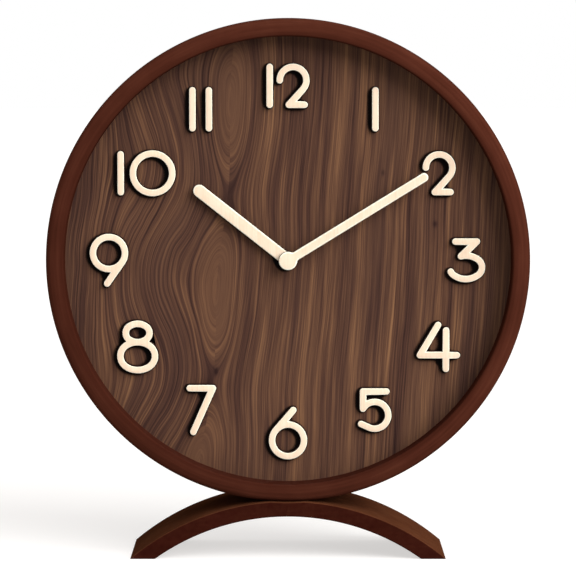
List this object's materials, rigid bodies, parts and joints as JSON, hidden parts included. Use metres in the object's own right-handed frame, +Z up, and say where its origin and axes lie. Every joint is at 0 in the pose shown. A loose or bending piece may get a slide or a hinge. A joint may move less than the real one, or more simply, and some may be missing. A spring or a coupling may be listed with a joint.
{
  "type": "desk clock",
  "caption": "Round wooden desk clock on an arched foot, with raised numerals, plain bar hands and a quartz movement behind the dial.",
  "frame": {"origin": "on the table, midway between the soles of the foot and midway between its front and back", "axes": "+Z up, +X to the right as the clock is read, -Y towards the reader, so +Y looks through the dial from the front"},
  "size_m": [0.2032, 0.05, 0.2272],
  "materials": {
    "stained_wood": "satin",
    "walnut_veneer": "matte",
    "maple": "matte",
    "pine": "raw",
    "black_hardboard": "matte",
    "zinc_steel": "zinc plated",
    "black_housing": "moulded",
    "brass": "turned",
    "white_nylon": "moulded",
    "black_knob": "moulded",
    "magnet": "sintered",
    "spring_steel": "bright",
    "silicon_steel": "punched",
    "bobbin_plastic": "moulded",
    "copper_wire": "enamelled",
    "board_laminate": "laminated",
    "crystal_can": "drawn",
    "black_resin": "potted",
    "battery_jacket": "printed sleeve",
    "nickel_contact": "nickel plated"
  },
  "bodies": {
    "clock_case": {"arch_foot": "stained_wood", "back_board": "black_hardboard", "battery_cell": "battery_jacket", "board_screws": "zinc_steel", "case_ring": "stained_wood", "circuit_board": "board_laminate", "circuit_chip": "black_resin", "coil_bobbin": "bobbin_plastic", "coil_core": "silicon_steel", "coil_winding": "copper_wire", "dial_panel": "walnut_veneer", "foot_screws": "zinc_steel", "movement_case": "black_housing", "movement_cover": "black_housing", "movement_screws": "zinc_steel", "negative_contact": "nickel_contact", "numeral_01": "maple", "numeral_02": "maple", "numeral_03": "maple", "numeral_04": "maple", "numeral_05": "maple", "numeral_06": "maple", "numeral_07": "maple", "numeral_08": "maple", "numeral_09": "maple", "numeral_10": "maple", "numeral_11": "maple", "numeral_12": "maple", "positive_contact": "nickel_contact", "quartz_crystal": "crystal_can", "spacer_blocks": "pine", "stator": "silicon_steel"},
    "minute_hand_set": {"minute_hand": "maple", "cannon_pinion": "brass", "slip_spring": "spring_steel"},
    "hour_hand_set": {"hour_hand": "maple", "hour_wheel": "brass"},
    "motion_work": {"motion_wheel": "white_nylon"},
    "setting_shaft": {"setting_arbor": "white_nylon", "setting_knob": "black_knob"},
    "rotor_set": {"rotor": "white_nylon", "rotor_magnet": "magnet"},
    "intermediate_set": {"intermediate_wheel": "white_nylon"},
    "second_set": {"second_wheel": "white_nylon"},
    "third_set": {"third_wheel": "white_nylon"},
    "centre_set": {"centre_wheel": "white_nylon"}
  },
  "joints": [
    {"name": "minute_hand_turn", "type": "hinge", "parent": "clock_case", "child": "minute_hand_set", "pos_m": [0, -0.014, 0.1256], "axis": [0, 1, 0], "continuous": true},
    {"name": "hour_hand_turn", "type": "hinge", "parent": "clock_case", "child": "hour_hand_set", "pos_m": [0, -0.014, 0.1256], "axis": [0, 1, 0], "continuous": true},
    {"name": "motion_wheel_turn", "type": "hinge", "parent": "clock_case", "child": "motion_work", "pos_m": [0, -0.014, 0.1336], "axis": [0, 1, 0], "continuous": true},
    {"name": "setting_knob_turn", "type": "hinge", "parent": "clock_case", "child": "setting_shaft", "pos_m": [0.00394, -0.014, 0.14102], "axis": [0, 1, 0], "continuous": true},
    {"name": "rotor_turn", "type": "hinge", "parent": "clock_case", "child": "rotor_set", "pos_m": [0.01644, -0.014, 0.12329], "axis": [0, 1, 0], "continuous": true},
    {"name": "intermediate_wheel_turn", "type": "hinge", "parent": "clock_case", "child": "intermediate_set", "pos_m": [0.00951, -0.014, 0.12426], "axis": [0, 1, 0], "continuous": true},
    {"name": "second_wheel_turn", "type": "hinge", "parent": "clock_case", "child": "second_set", "pos_m": [0, -0.014, 0.1256], "axis": [0, 1, 0], "continuous": true},
    {"name": "third_wheel_turn", "type": "hinge", "parent": "clock_case", "child": "third_set", "pos_m": [-0.00886, -0.014, 0.12404], "axis": [0, 1, 0], "continuous": true},
    {"name": "centre_wheel_turn", "type": "hinge", "parent": "clock_case", "child": "centre_set", "pos_m": [0, -0.014, 0.1256], "axis": [0, 1, 0], "continuous": true}
  ],
  "couplings": [
    {"joint": "motion_wheel_turn", "follows": "minute_hand_turn", "ratio": -0.33333},
    {"joint": "hour_hand_turn", "follows": "minute_hand_turn", "ratio": 0.083333},
    {"joint": "setting_knob_turn", "follows": "minute_hand_turn", "ratio": 0.83333},
    {"joint": "intermediate_wheel_turn", "follows": "rotor_turn", "ratio": -0.16667},
    {"joint": "second_wheel_turn", "follows": "rotor_turn", "ratio": 0.033333},
    {"joint": "third_wheel_turn", "follows": "rotor_turn", "ratio": -0.0044444},
    {"joint": "centre_wheel_turn", "follows": "rotor_turn", "ratio": 0.00055556}
  ]
}
